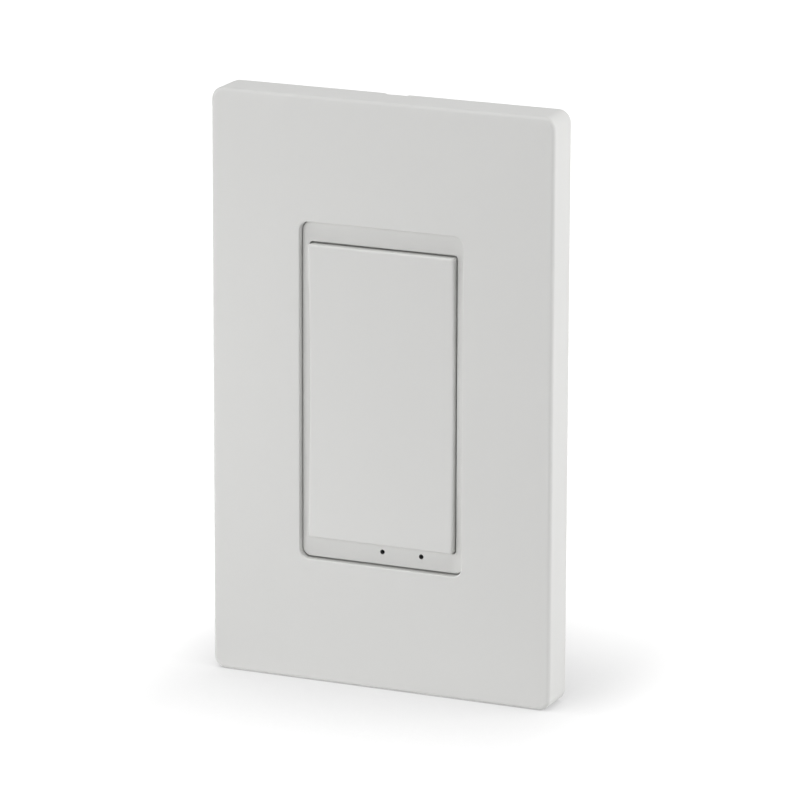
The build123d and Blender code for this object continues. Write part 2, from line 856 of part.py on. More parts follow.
def recess_shell(side, z):
    """The housing's own walls round one recess, solid behind it to guide the wires."""
    outer = housing_width / 2 - housing_wall / 2
    near, far = sorted((side * (recess_floor - recess_wall), side * outer))
    half = recess_height / 2 + recess_wall
    far_side = housing_back - housing_wall / 2
    return block((near, far), (recess_start - recess_wall, far_side), (z - half, z + half))


def wire_holes(side, z):
    """Two round holes from the housing's back, through which a bare wire goes in beside the screw."""
    x = side * (recess_floor + terminal_thickness + wire_hole_sink)
    holes = None
    for end in (-1, 1):
        place = z + end * wire_hole_spacing / 2
        hole = rod(x, place, wire_hole_radius, recess_end - overcut, housing_back + overcut)
        holes = hole if holes is None else holes + hole
    return holes


def make_housing():
    """The deep moulded box with corner bosses, terminal recesses and board posts."""
    outline = RectangleRounded(housing_width, housing_height, housing_corner)
    housing = slab(outline, flange_back, housing_back)
    housing = fillet(back_edges(housing), housing_back_round)
    inside_width = housing_width - 2 * housing_wall
    inside_height = housing_height - 2 * housing_wall
    inside = RectangleRounded(inside_width, inside_height, housing_inner_corner)
    housing -= slab(inside, flange_back - overcut, housing_back - housing_wall)
    for side, end in corner_places:
        x = side * screw_corner_x
        z = end * screw_corner_z
        boss = rod(x, z, housing_boss_radius, flange_back, flange_back + housing_boss_length)
        housing += boss & slab(outline, flange_back, housing_back)
        bore_end = flange_back + housing_boss_length - housing_boss_floor
        housing -= rod(x, z, housing_screw_radius, flange_back - overcut, bore_end)
        x = side * stake_place_x
        z = end * stake_place_z
        housing += rod(x, z, stake_post_radius, power_board_back, housing_back - housing_wall + sink)
        housing += rod(x, z, stake_radius, power_board_front - stake_reach, power_board_back + sink)
    for side, z in terminals.values():
        housing += recess_shell(side, z)
    for side, z in terminals.values():
        housing -= recess_box(side, z)
        housing -= wire_holes(side, z)
        near, far = sorted((side * (recess_floor - recess_wall - overcut), side * (recess_floor + overcut)))
        housing -= cross_rod(terminal_line, z, terminal_screw_radius + terminal_hole_clearance, near, far)
        half = terminal_leg / 2 + slot_clearance
        leg_range = (terminal_end - terminal_thickness - slot_clearance, terminal_end + slot_clearance)
        housing -= block((near, far), leg_range, (z - half, z + half))
    return housing


def make_terminal(side, z):
    """A strip in the recess that bends through its floor and back to the power board."""
    outer = recess_floor + terminal_thickness
    pin_inner = power_board_width / 2 - terminal_pin_inset
    half = terminal_width / 2
    plate = block((recess_floor, outer), (recess_start + terminal_start_gap, terminal_end), (-half, half))
    half = terminal_leg / 2
    leg_start = terminal_end - terminal_thickness
    leg = block((pin_inner, recess_floor + sink), (leg_start, terminal_end), (-half, half))
    pin = block(
        (pin_inner, pin_inner + terminal_thickness),
        (leg_start, power_board_back + terminal_pin_reach),
        (-terminal_pin / 2, terminal_pin / 2),
    )
    strip = plate + leg + pin
    hole = terminal_screw_radius + screw_hole_clearance
    strip -= cross_rod(terminal_line, 0, hole, recess_floor - overcut, outer + overcut)
    return Pos(0, 0, z) * (strip if side > 0 else mirror(strip, Plane.YZ))


def make_clamp(side, z):
    """The square pressure plate under a terminal screw's head."""
    inner = recess_floor + terminal_thickness + clamp_gap
    half = terminal_head_radius
    outer = inner + clamp_thickness
    clamp = block((inner, outer), (terminal_line - half, terminal_line + half), (-half, half))
    clamp = fillet(clamp.edges().filter_by(Axis.X), clamp_corner)
    hole = terminal_screw_radius + clamp_hole_clearance
    clamp -= cross_rod(terminal_line, 0, hole, inner - overcut, outer + overcut)
    return Pos(0, 0, z) * (clamp if side > 0 else mirror(clamp, Plane.YZ))


def side_screw(head_face, y, reach):
    """A slotted round-head screw along X, its head towards +X with its underside at head_face."""
    head = terminal_head_radius
    points = [
        (0, head_face + terminal_head_height),
        (head * terminal_head_top_share, head_face + terminal_head_height),
        (head, head_face + terminal_head_height * terminal_head_rim_share),
        (head, head_face),
        (terminal_screw_radius, head_face),
        (terminal_screw_radius, head_face - reach + screw_tip),
        (terminal_screw_radius - screw_tip, head_face - reach),
        (0, head_face - reach),
    ]
    section = make_face(Polyline(*points, close=True))
    screw = Rot(0, 0, -90) * revolve(section, Axis.Y)
    top = head_face + terminal_head_height
    half = screw_slot_width / 2
    slot = block((top - screw_slot_depth, top + overcut), (-head, head), (-half, half))
    return Pos(0, y, 0) * (screw - slot)


def make_terminal_screw(side, z):
    head_face = recess_floor + terminal_thickness + clamp_gap + clamp_thickness
    reach = clamp_thickness + clamp_gap + terminal_thickness + terminal_screw_reach
    screw = side_screw(head_face, terminal_line, reach)
    return Pos(0, 0, z) * (screw if side > 0 else mirror(screw, Plane.YZ))


def make_ground_screw():
    """The earth screw, whose head lies on the tab's outer face."""
    head_face = housing_width / 2 + tab_gap + strap_thickness
    screw = side_screw(head_face, tab_screw_line, strap_thickness + tab_gap / 2)
    return Pos(0, 0, tab_place) * mirror(screw, Plane.YZ)


def make_housing_screws():
    """Four pan-head screws through strap and flange into the housing's bosses."""
    head = strap_front - housing_screw_head_height
    tip = strap_front + housing_screw_length
    screws = []
    for side, end in corner_places:
        points = [
            (0, head),
            (housing_screw_head * housing_head_top_share, head),
            (housing_screw_head, strap_front - housing_head_rim),
            (housing_screw_head, strap_front),
            (housing_screw_radius, strap_front),
            (housing_screw_radius, tip - housing_screw_point),
            (housing_screw_tip_radius, tip),
            (0, tip),
        ]
        screw = turned(points, 0, 0)
        half = housing_screw_head * cross_length_share
        for turn in (0, 90):
            cross = block((-half, half), (head - overcut, head + housing_cross_depth),
                          (-housing_cross_width / 2, housing_cross_width / 2))
            screw -= Rot(0, turn, 0) * cross
        screws.append(Pos(side * screw_corner_x, 0, end * screw_corner_z) * screw)
    return Compound(children=screws)


def header_rows():
    return [header_start - index * header_pitch for index in range(header_count)]


def make_header_pins():
    half = header_pin_width / 2
    x_range = (header_place_x - half, header_place_x + half)
    y_range = (board_front - header_pin_reach, power_board_back + header_pin_reach)
    return Compound(children=[block(x_range, y_range, (z - half, z + half)) for z in header_rows()])


def header_holes():
    hole = header_pin_width + 2 * header_hole_clearance
    return [Pos(header_place_x, z) * Rectangle(hole, hole) for z in header_rows()]


def make_header_strips():
    length = header_count * header_pitch
    outline = Pos(header_place_x, (header_start + header_end) / 2) * Rectangle(header_pitch, length)
    for hole in header_holes():
        outline -= hole
    near = slab(outline, board_back, board_back + header_strip_height)
    far = slab(outline, power_board_front - header_strip_height, power_board_front)
    return Compound(children=[near, far])


def make_power_board():
    """The mains board near the housing's back, with slots for the terminals and holes for the stakes."""
    outline = Rectangle(power_board_width, power_board_height)
    for side, end in corner_places:
        place = Pos(side * stake_place_x, end * stake_place_z)
        outline -= place * Circle(stake_radius + stake_clearance)
    for side, z in terminals.values():
        x = side * (power_board_width / 2 - terminal_pin_inset + terminal_thickness / 2)
        outline -= Pos(x, z) * Rectangle(terminal_thickness + slot_clearance, terminal_pin + slot_clearance)
    for hole in header_holes():
        outline -= hole
    return slab(outline, power_board_front, power_board_back)


def on_board(x, width, height, start, length, corner):
    """A block with rounded corners that stands on the power board, from a height down."""
    solid = block(
        (x - width / 2, x + width / 2),
        (power_board_front - height, power_board_front),
        (start - length, start),
    )
    return fillet(solid.edges().filter_by(Axis.Y), corner)


def make_can(x, z, radius, height):
    """An electrolytic can with a rolled groove near its foot."""
    top = power_board_front - height
    groove = power_board_front - can_groove_place
    points = [
        (0, top),
        (radius - can_edge, top),
        (radius, top + can_edge),
        (radius, groove - can_groove),
        (radius - can_groove, groove),
        (radius, groove + can_groove),
        (radius, power_board_front - can_groove),
        (radius - can_groove, power_board_front),
        (0, power_board_front),
    ]
    return turned(points, x, z)


def make_transformer():
    """The small transformer: a squared ring core and the wound bobbin that fills its window."""
    half = core_width / 2
    front = power_board_front - core_height
    inner = half - core_limb
    core = block((-half, half), (front, power_board_front), (-core_depth / 2, core_depth / 2))
    opening = (front + core_limb, power_board_front - core_limb)
    core -= block((-inner, inner), opening, (-core_depth, core_depth))
    middle = inner - coil_gap
    coil = block(
        (-middle, middle),
        (opening[0] + coil_gap, opening[1] - coil_gap),
        (-coil_length / 2, coil_length / 2),
    )
    for end in (-1, 1):
        low, high = sorted((end * (core_depth / 2 + coil_gap), end * coil_length / 2))
        cheek = block(
            (-half + coil_overhang, half - coil_overhang),
            (front + coil_overhang, power_board_front),
            (low, high),
        )
        coil += fillet(cheek.edges().filter_by(Axis.Z), coil_round)
    place = Pos(right_line, 0, coil_line)
    return place * core, place * coil


def make_varistor():
    """A dipped disc standing on the board."""
    half = varistor_thickness / 2
    y = power_board_front - varistor_radius
    disc = cross_rod(y, varistor_line, varistor_radius, left_line - half, left_line + half)
    return chamfer(disc.edges(), varistor_edge)


def make_fuse():
    """A fuse in its sleeve, lying across the board."""
    y = power_board_front - fuse_radius
    body = cross_rod(y, fuse_line, fuse_radius, fuse_middle - fuse_length / 2, fuse_middle + fuse_length / 2)
    return chamfer(body.edges(), fuse_edge)


def build_parts():
    parts = {
        "cover_plate": make_cover_plate(),
        "sub_plate": make_adapter(),
        "sub_plate_screws": make_adapter_screws(),
        "yoke_strap": make_strap(),
        "box_screws": make_box_screws(),
        "screw_retainers": make_retainers(),
        "front_frame": make_front_frame(),
        "rocker": make_rocker(),
        "light_pipe": make_light_pipe(),
        "board_screws": make_board_screws(),
        "back_housing": make_housing(),
        "housing_screws": make_housing_screws(),
        "ground_screw": make_ground_screw(),
        "header_pins": make_header_pins(),
        "header_strips": make_header_strips(),
        "power_board": make_power_board(),
    }
    board = make_logic_board()
    for hole in header_holes():
        board -= slab(hole, board_front, board_back)
    parts["logic_board"] = board
    for name, end in (("upper", 1), ("lower", -1)):
        z = end * post_place
        parts[name + "_switch"] = make_switch(
            0, z, switch_width, switch_height, plunger_radius, plunger_foot)
        foot_start = switch_top + switch_cap + plunger_travel
        parts[name + "_plunger"] = make_plunger(
            0, z, post_tip, plunger_radius, plunger_foot, foot_start, plunger_foot_thickness)
    parts["reset_switch"] = make_switch(
        reset_place, channel_line, reset_switch_width, reset_switch_height,
        reset_plunger_radius, reset_foot)
    reset_top = board_front - reset_switch_height
    parts["reset_plunger"] = make_plunger(
        reset_place, channel_line, reset_top - reset_plunger_length,
        reset_plunger_radius, reset_foot, reset_top + switch_cap + reset_foot_gap, reset_foot)
    light_x = (-light_width / 2, light_width / 2)
    light_z = (channel_line - light_depth / 2, channel_line + light_depth / 2)
    parts["status_led"] = block(light_x, (board_front - light_height, board_front), light_z)
    module = block(
        (-module_width / 2, module_width / 2),
        (board_front - module_thickness, board_front),
        (-module_length / 2, module_length / 2),
    )
    parts["radio_module"] = module
    shield_edge = module_width / 2 - shield_inset
    shield_low = -module_length / 2 + shield_inset
    shield = block(
        (-shield_edge, shield_edge),
        (board_front - module_thickness - shield_height, board_front - module_thickness),
        (shield_low, shield_low + shield_length),
    )
    parts["radio_shield"] = fillet(shield.edges().filter_by(Axis.Y), shield_corner)
    half = chip_width / 2
    parts["control_chip"] = block((-half, half), (board_back, board_back + chip_height), (-half, half))
    for name, (side, z) in terminals.items():
        parts[name + "_terminal"] = make_terminal(side, z)
        parts[name + "_clamp"] = make_clamp(side, z)
        parts[name + "_screw"] = make_terminal_screw(side, z)
    parts["relay"] = on_board(left_line, relay_width, relay_height, relay_start, relay_length, relay_corner)
    parts["filter_capacitor"] = make_can(left_line, filter_line, filter_radius, filter_height)
    parts["output_capacitor"] = make_can(left_line, output_line, output_radius, output_height)
    parts["varistor"] = make_varistor()
    parts["safety_capacitor"] = on_board(
        safety_line, safety_width, safety_height, safety_start, safety_length, relay_corner)
    core, winding = make_transformer()
    parts["transformer_core"] = core
    parts["transformer_winding"] = winding
    parts["fuse"] = make_fuse()
    parts["rectifier"] = on_board(
        rectifier_line, rectifier_width, rectifier_height, safety_start, rectifier_length, rectifier_corner)
    return parts


os.makedirs("parts", exist_ok=True)
for node, solid in build_parts().items():
    export_step(solid, f"parts/{node}.step")
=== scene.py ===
import bpy
import bmesh
import json
import math
import numpy as np
from mathutils import Matrix, Vector

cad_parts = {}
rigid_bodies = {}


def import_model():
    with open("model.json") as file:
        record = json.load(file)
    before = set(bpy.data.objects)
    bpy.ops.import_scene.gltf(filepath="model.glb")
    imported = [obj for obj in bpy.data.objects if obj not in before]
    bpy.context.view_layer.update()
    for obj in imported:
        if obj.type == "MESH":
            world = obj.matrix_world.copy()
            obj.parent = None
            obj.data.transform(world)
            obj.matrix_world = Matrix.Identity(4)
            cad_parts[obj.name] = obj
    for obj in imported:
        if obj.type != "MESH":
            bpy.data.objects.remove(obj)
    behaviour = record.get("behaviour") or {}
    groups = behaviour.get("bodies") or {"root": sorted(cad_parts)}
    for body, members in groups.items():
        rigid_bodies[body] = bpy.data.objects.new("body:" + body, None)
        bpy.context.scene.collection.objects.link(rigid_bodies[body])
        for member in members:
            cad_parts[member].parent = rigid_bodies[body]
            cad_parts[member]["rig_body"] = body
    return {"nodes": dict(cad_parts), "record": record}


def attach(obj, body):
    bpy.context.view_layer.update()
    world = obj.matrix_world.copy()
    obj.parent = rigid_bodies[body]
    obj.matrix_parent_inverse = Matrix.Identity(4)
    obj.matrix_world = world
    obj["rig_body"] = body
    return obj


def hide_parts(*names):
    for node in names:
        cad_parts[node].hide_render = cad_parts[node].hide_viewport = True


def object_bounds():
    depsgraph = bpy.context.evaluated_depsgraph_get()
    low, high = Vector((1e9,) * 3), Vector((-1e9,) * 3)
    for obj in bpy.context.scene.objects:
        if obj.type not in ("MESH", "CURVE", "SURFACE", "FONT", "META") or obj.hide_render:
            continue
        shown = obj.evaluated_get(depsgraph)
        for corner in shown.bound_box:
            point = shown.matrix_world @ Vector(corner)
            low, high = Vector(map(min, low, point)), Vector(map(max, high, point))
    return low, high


# One-gang smart switch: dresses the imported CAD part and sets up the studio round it.
# X runs right, Y into the wall, Z up, in metres. The part stands on the lower edge of its plate.

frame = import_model()
nodes = frame["nodes"]
bodyOf = {name: node["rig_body"] for name, node in nodes.items()}
slotOf = {part["node"]: part["material_slot"] for part in frame["record"]["subparts"]}
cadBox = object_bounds()
mm = 0.001
print("loaded", len(nodes), "CAD nodes")


# The studio: camera, lamps, white surroundings and a pale floor
camera = {
    "place": (0.425205, -0.974004, 0.277765),
    "azimuth": 23.554,      # degrees round from straight in front
    "elevation": 14.748,
    "roll": 0.177,
    "focalPixels": 5800.0,
    "picturePixels": 800,   # the picture's width that focalPixels goes with
    "filmWidth": 36,        # millimetres
    "clip": (0.05, 50),
}


def addCamera():
    # The viewing direction and the picture's two axes come from azimuth and elevation, and the roll turns
    # the axes: right = level cos r + upright sin r, up = upright cos r - level sin r
    a, e, r = (math.radians(camera[key]) for key in ("azimuth", "elevation", "roll"))
    ahead = Vector((-math.sin(a) * math.cos(e), math.cos(a) * math.cos(e), -math.sin(e)))
    level = Vector((math.cos(a), math.sin(a), 0))
    upright = level.cross(ahead)
    right = level * math.cos(r) + upright * math.sin(r)
    up = upright * math.cos(r) - level * math.sin(r)
    data = bpy.data.cameras.new("camera")
    data.sensor_fit = "HORIZONTAL"
    data.sensor_width = camera["filmWidth"]
    data.lens = camera["focalPixels"] * camera["filmWidth"] / camera["picturePixels"]
    data.clip_start, data.clip_end = camera["clip"]
    obj = bpy.data.objects.new("camera", data)
    bpy.context.scene.collection.objects.link(obj)
    turn = Matrix((right, up, -ahead)).transposed().to_4x4()
    obj.matrix_world = Matrix.Translation(camera["place"]) @ turn
    bpy.context.scene.camera = obj


lamps = {
    # name: (place, aim, width, height, power in watts)
    "key": ((-0.52, -1.40, 0.50), (0, 0, 0), 0.95, 0.95, 8.4),
    "side": ((1.05, 0.42, 0.30), (0, 0, 0), 0.7, 0.8, 8.0),
    "rightEdge": ((1.20, -0.24, 0.25), (0, 0, 0), 0.35, 0.8, 2.2),
    "leftEdge": ((-1.20, -0.24, 0.25), (0, 0, 0), 0.35, 0.8, 1.6),
    "top": ((-0.12, -0.26, 1.25), (0, 0, 0), 1.0, 0.36, 6.9),
    "bounce": ((-0.16, -0.13, -0.045), (-0.03, 0, -0.04), 0.12, 0.05, 0.072),
}
ambient = 0.02


def addLamps():
    for name, (place, aim, width, height, power) in lamps.items():
        data = bpy.data.lights.new(name + "Lamp", "AREA")
        data.shape = "RECTANGLE"
        data.size = width
        data.size_y = height
        data.energy = power
        obj = bpy.data.objects.new(name + "Lamp", data)
        bpy.context.scene.collection.objects.link(obj)
        obj.location = place
        obj.rotation_mode = "QUATERNION"
        obj.rotation_quaternion = (Vector(aim) - Vector(place)).to_track_quat("-Z", "Y")


def mathNode(tree, operation, first, second=0.0):
    # Each of the two values is a number or the socket that it comes from
    node = tree.nodes.new("ShaderNodeMath")
    node.operation = operation
    for socket, value in zip(node.inputs, (first, second)):
        if isinstance(value, (int, float)):
            socket.default_value = value
        else:
            tree.links.new(value, socket)
    return node.outputs[0]


def whiteRays(tree):
    # 1 for camera, mirror and glass rays, which should see the white backdrop
    path = tree.nodes.new("ShaderNodeLightPath")
    seen = mathNode(tree, "MAXIMUM", path.outputs["Is Camera Ray"], path.outputs["Is Glossy Ray"])
    return mathNode(tree, "MAXIMUM", seen, path.outputs["Is Transmission Ray"])


def addWorld():
    world = bpy.data.worlds.new("studio")
    bpy.context.scene.world = world
    world.use_nodes = True
    tree = world.node_tree
    tree.nodes.clear()
    seen = tree.nodes.new("ShaderNodeBackground")
    seen.inputs["Color"].default_value = (1, 1, 1, 1)
    seen.inputs["Strength"].default_value = 1.0
    light = tree.nodes.new("ShaderNodeBackground")
    light.inputs["Color"].default_value = (1, 1, 1, 1)
    light.inputs["Strength"].default_value = ambient
    mix = tree.nodes.new("ShaderNodeMixShader")
    out = tree.nodes.new("ShaderNodeOutputWorld")
    tree.links.new(whiteRays(tree), mix.inputs[0])
    tree.links.new(light.outputs[0], mix.inputs[1])
    tree.links.new(seen.outputs[0], mix.inputs[2])
    tree.links.new(mix.outputs[0], out.inputs["Surface"])


# The floor's glow carries a painted contact shadow round the plate's base, from the occlusion node
floorLook = {
    "halfWidth": 4.0,
    "glow": (0.87, 1.08),      # the glow the camera sees, lower at the base so the painted shadow and the lamps' shadows show there, higher away from it
    "baseHalf": 0.033,         # half the width of the plate's lower edge
    "baseDepth": -0.004,
    "ramp": (0.028, 0.085),    # how far from the base the white is full, sideways and in depth
    "shade": 0.46,             # how much painted shade is taken off the glow where the switch covers the whole sky
    "reach": 0.25,             # how far away something still covers the sky
    "skySamples": 16,
    "albedo": 0.20,            # how much of the lamps' own shadows shows
    "bounce": 0.80,            # the paper's tone for every other ray
}


def addFloor():
    half = floorLook["halfWidth"]
    low = cadBox[0].z
    mesh = bpy.data.meshes.new("floor")
    corners = [(-half, -half, low), (half, -half, low), (half, half, low), (-half, half, low)]
    mesh.from_pydata(corners, [], [(0, 1, 2, 3)])
    obj = bpy.data.objects.new("floor", mesh)
    bpy.context.scene.collection.objects.link(obj)
    material = bpy.data.materials.new("paperFloor")
    material.use_nodes = True
    tree = material.node_tree
    tree.nodes.clear()
    paper = tree.nodes.new("ShaderNodeBsdfDiffuse")
    paper.inputs["Color"].default_value = (floorLook["albedo"],) * 3 + (1,)
    glow = tree.nodes.new("ShaderNodeEmission")
    glow.inputs["Color"].default_value = (1, 1, 1, 1)
    # Away = sqrt((max(|x| - half, 0) / side)^2 + ((y - base) / depth)^2) from the plate's lower edge.
    # Glow = white of that share - painted shade * (1 - open sky), open sky from the occlusion over the
    # paper.
    coords = tree.nodes.new("ShaderNodeTexCoord")
    split = tree.nodes.new("ShaderNodeSeparateXYZ")
    tree.links.new(coords.outputs["Object"], split.inputs[0])
    beside = mathNode(tree, "ABSOLUTE", split.outputs["X"])
    beside = mathNode(tree, "SUBTRACT", beside, floorLook["baseHalf"])
    beside = mathNode(tree, "DIVIDE", mathNode(tree, "MAXIMUM", beside, 0.0), floorLook["ramp"][0])
    before = mathNode(tree, "SUBTRACT", split.outputs["Y"], floorLook["baseDepth"])
    before = mathNode(tree, "DIVIDE", before, floorLook["ramp"][1])
    squares = mathNode(tree, "ADD", mathNode(tree, "MULTIPLY", beside, beside),
                       mathNode(tree, "MULTIPLY", before, before))
    white = tree.nodes.new("ShaderNodeMapRange")
    white.interpolation_type = "SMOOTHSTEP"
    white.inputs["To Min"].default_value, white.inputs["To Max"].default_value = floorLook["glow"]
    tree.links.new(mathNode(tree, "SQRT", squares), white.inputs["Value"])
    # Painted shadow: the occlusion takes glow off the paper round the switch
    sky = tree.nodes.new("ShaderNodeAmbientOcclusion")
    sky.samples = floorLook["skySamples"]
    sky.inputs["Distance"].default_value = floorLook["reach"]
    paintedShade = tree.nodes.new("ShaderNodeMapRange")
    paintedShade.inputs["To Min"].default_value = floorLook["shade"]
    paintedShade.inputs["To Max"].default_value = 0.0
    tree.links.new(sky.outputs["AO"], paintedShade.inputs["Value"])
    level = mathNode(tree, "SUBTRACT", white.outputs["Result"], paintedShade.outputs["Result"])
    tree.links.new(level, glow.inputs["Strength"])
    both = tree.nodes.new("ShaderNodeAddShader")
    plain = tree.nodes.new("ShaderNodeBsdfDiffuse")
    plain.inputs["Color"].default_value = (floorLook["bounce"],) * 3 + (1,)
    mix = tree.nodes.new("ShaderNodeMixShader")
    out = tree.nodes.new("ShaderNodeOutputMaterial")
    tree.links.new(paper.outputs[0], both.inputs[0])
    tree.links.new(glow.outputs[0], both.inputs[1])
    tree.links.new(whiteRays(tree), mix.inputs[0])
    tree.links.new(plain.outputs[0], mix.inputs[1])
    tree.links.new(both.outputs[0], mix.inputs[2])
    tree.links.new(mix.outputs[0], out.inputs["Surface"])
    mesh.materials.append(material)


bpy.context.scene.view_settings.view_transform = "Standard"
addCamera()
addLamps()
addWorld()
addFloor()
print("studio ready")


# Finishes: one material for each slot of the record
def startMaterial(name):
    material = bpy.data.materials.new(name)
    material.use_nodes = True
    tree = material.node_tree
    shader = tree.nodes["Principled BSDF"]
    coords = tree.nodes.new("ShaderNodeTexCoord")
    return material, tree, shader, coords.outputs["Object"]


def noiseField(tree, coords, scale, detail, stretch=None):
    field = tree.nodes.new("ShaderNodeTexNoise")
    field.inputs["Scale"].default_value = scale
    field.inputs["Detail"].default_value = detail
    if stretch:
        mapping = tree.nodes.new("ShaderNodeMapping")
        mapping.inputs["Scale"].default_value = stretch
        tree.links.new(coords, mapping.inputs["Vector"])
        coords = mapping.outputs[0]
    tree.links.new(coords, field.inputs["Vector"])
    return field.outputs["Fac"]


def spread(tree, value, low, high):
    # Carries the middle of a noise field, where nearly all of it lies, onto a range
    node = tree.nodes.new("ShaderNodeMapRange")
    node.inputs["From Min"].default_value = 0.3
    node.inputs["From Max"].default_value = 0.7
    node.inputs["To Min"].default_value = low
    node.inputs["To Max"].default_value = high
    tree.links.new(value, node.inputs["Value"])
    return node.outputs["Result"]


def tint(tree, value, first, second):
    node = tree.nodes.new("ShaderNodeMix")
    node.data_type = "RGBA"
    node.inputs[6].default_value = (*first, 1)
    node.inputs[7].default_value = (*second, 1)
    tree.links.new(value, node.inputs[0])
    return node.outputs[2]


def roughen(tree, shader, height, strength, depth):
    bump = tree.nodes.new("ShaderNodeBump")
    bump.inputs["Strength"].default_value = strength
    bump.inputs["Distance"].default_value = depth
    tree.links.new(height, bump.inputs["Height"])
    tree.links.new(bump.outputs[0], shader.inputs["Normal"])


plastics = {
    "shift": 0.012,       # how much darker the tone gets in places, unless a finish says otherwise
    "toneScale": 45, "detail": 2, "sway": 0.03, "ior": 1.5,
}


def mouldedPlastic(name, colour, look):
    # Moulded plastic: a very slight shift of tone over centimetres, and the fine grain of the mould
    material, tree, shader, coords = startMaterial(name)
    darker = tuple(c * (1 - look.get("shift", plastics["shift"])) for c in colour)
    broad = noiseField(tree, coords, plastics["toneScale"], plastics["detail"])
    tree.links.new(tint(tree, broad, darker, colour), shader.inputs["Base Color"])
    fine = noiseField(tree, coords, look["grainScale"], plastics["detail"])
    rough = spread(tree, fine, look["rough"] - plastics["sway"], look["rough"] + plastics["sway"])
    tree.links.new(rough, shader.inputs["Roughness"])
    shader.inputs["IOR"].default_value = plastics["ior"]
    roughen(tree, shader, fine, look["grain"], look["grainDepth"])
    return material


pinholes = {
    "places": [(0.0, -0.0302), (0.008, -0.0302)],     # X and Z of the light's window and of the reset hole
    "radius": 0.00047,
    "depth": -0.0045,
    # tone is the painted shade put on the holes' walls
    "tone": (0.12, 0.12, 0.12),
}


def paintPinholeShade(material):
    # Paints shade on the walls of the two holes in the lower band, a dark painted tone: 1 where the distance
    # to a hole's line is under its radius and the point lies in the band's front wall
    tree = material.node_tree
    shader = tree.nodes["Principled BSDF"]
    plain = shader.inputs["Base Color"].links[0].from_socket
    coords = tree.nodes.new("ShaderNodeTexCoord")
    split = tree.nodes.new("ShaderNodeSeparateXYZ")
    tree.links.new(coords.outputs["Object"], split.inputs[0])
    inside = mathNode(tree, "LESS_THAN", split.outputs["Y"], pinholes["depth"])
    total = 0.0
    for x, z in pinholes["places"]:
        across = mathNode(tree, "SUBTRACT", split.outputs["X"], x)
        up = mathNode(tree, "SUBTRACT", split.outputs["Z"], z)
        squares = mathNode(tree, "ADD", mathNode(tree, "MULTIPLY", across, across),
                           mathNode(tree, "MULTIPLY", up, up))
        near = mathNode(tree, "LESS_THAN", squares, pinholes["radius"] ** 2)
        total = mathNode(tree, "MAXIMUM", near, total)
    pinholeShadeMask = mathNode(tree, "MULTIPLY", total, inside)
    mix = tree.nodes.new("ShaderNodeMix")
    mix.data_type = "RGBA"
    mix.inputs[7].default_value = (*pinholes["tone"], 1)
    tree.links.new(pinholeShadeMask, mix.inputs[0])
    tree.links.new(plain, mix.inputs[6])
    tree.links.new(mix.outputs[2], shader.inputs["Base Color"])


plating = {
    "lineScale": 900, "lineDetail": 4, "lineDepth": 0.00002,
    "cloudScale": 220, "cloudDetail": 3, "cloudTone": 0.84,
    "smoother": 0.07, "rougher": 0.09,
}


def platedSteel(name, colour, rough, stretch, streak):
    # Plated sheet or wire: fine drawn lines along the stretched axis and faint cloudy tone
    material, tree, shader, coords = startMaterial(name)
    shader.inputs["Metallic"].default_value = 1.0
    lines = noiseField(tree, coords, plating["lineScale"], plating["lineDetail"], stretch)
    cloud = noiseField(tree, coords, plating["cloudScale"], plating["cloudDetail"])
    darker = tuple(c * plating["cloudTone"] for c in colour)
    tree.links.new(tint(tree, cloud, darker, colour), shader.inputs["Base Color"])
    uneven = spread(tree, lines, rough - plating["smoother"], rough + plating["rougher"])
    tree.links.new(uneven, shader.inputs["Roughness"])
    roughen(tree, shader, lines, streak, plating["lineDepth"])
    return material


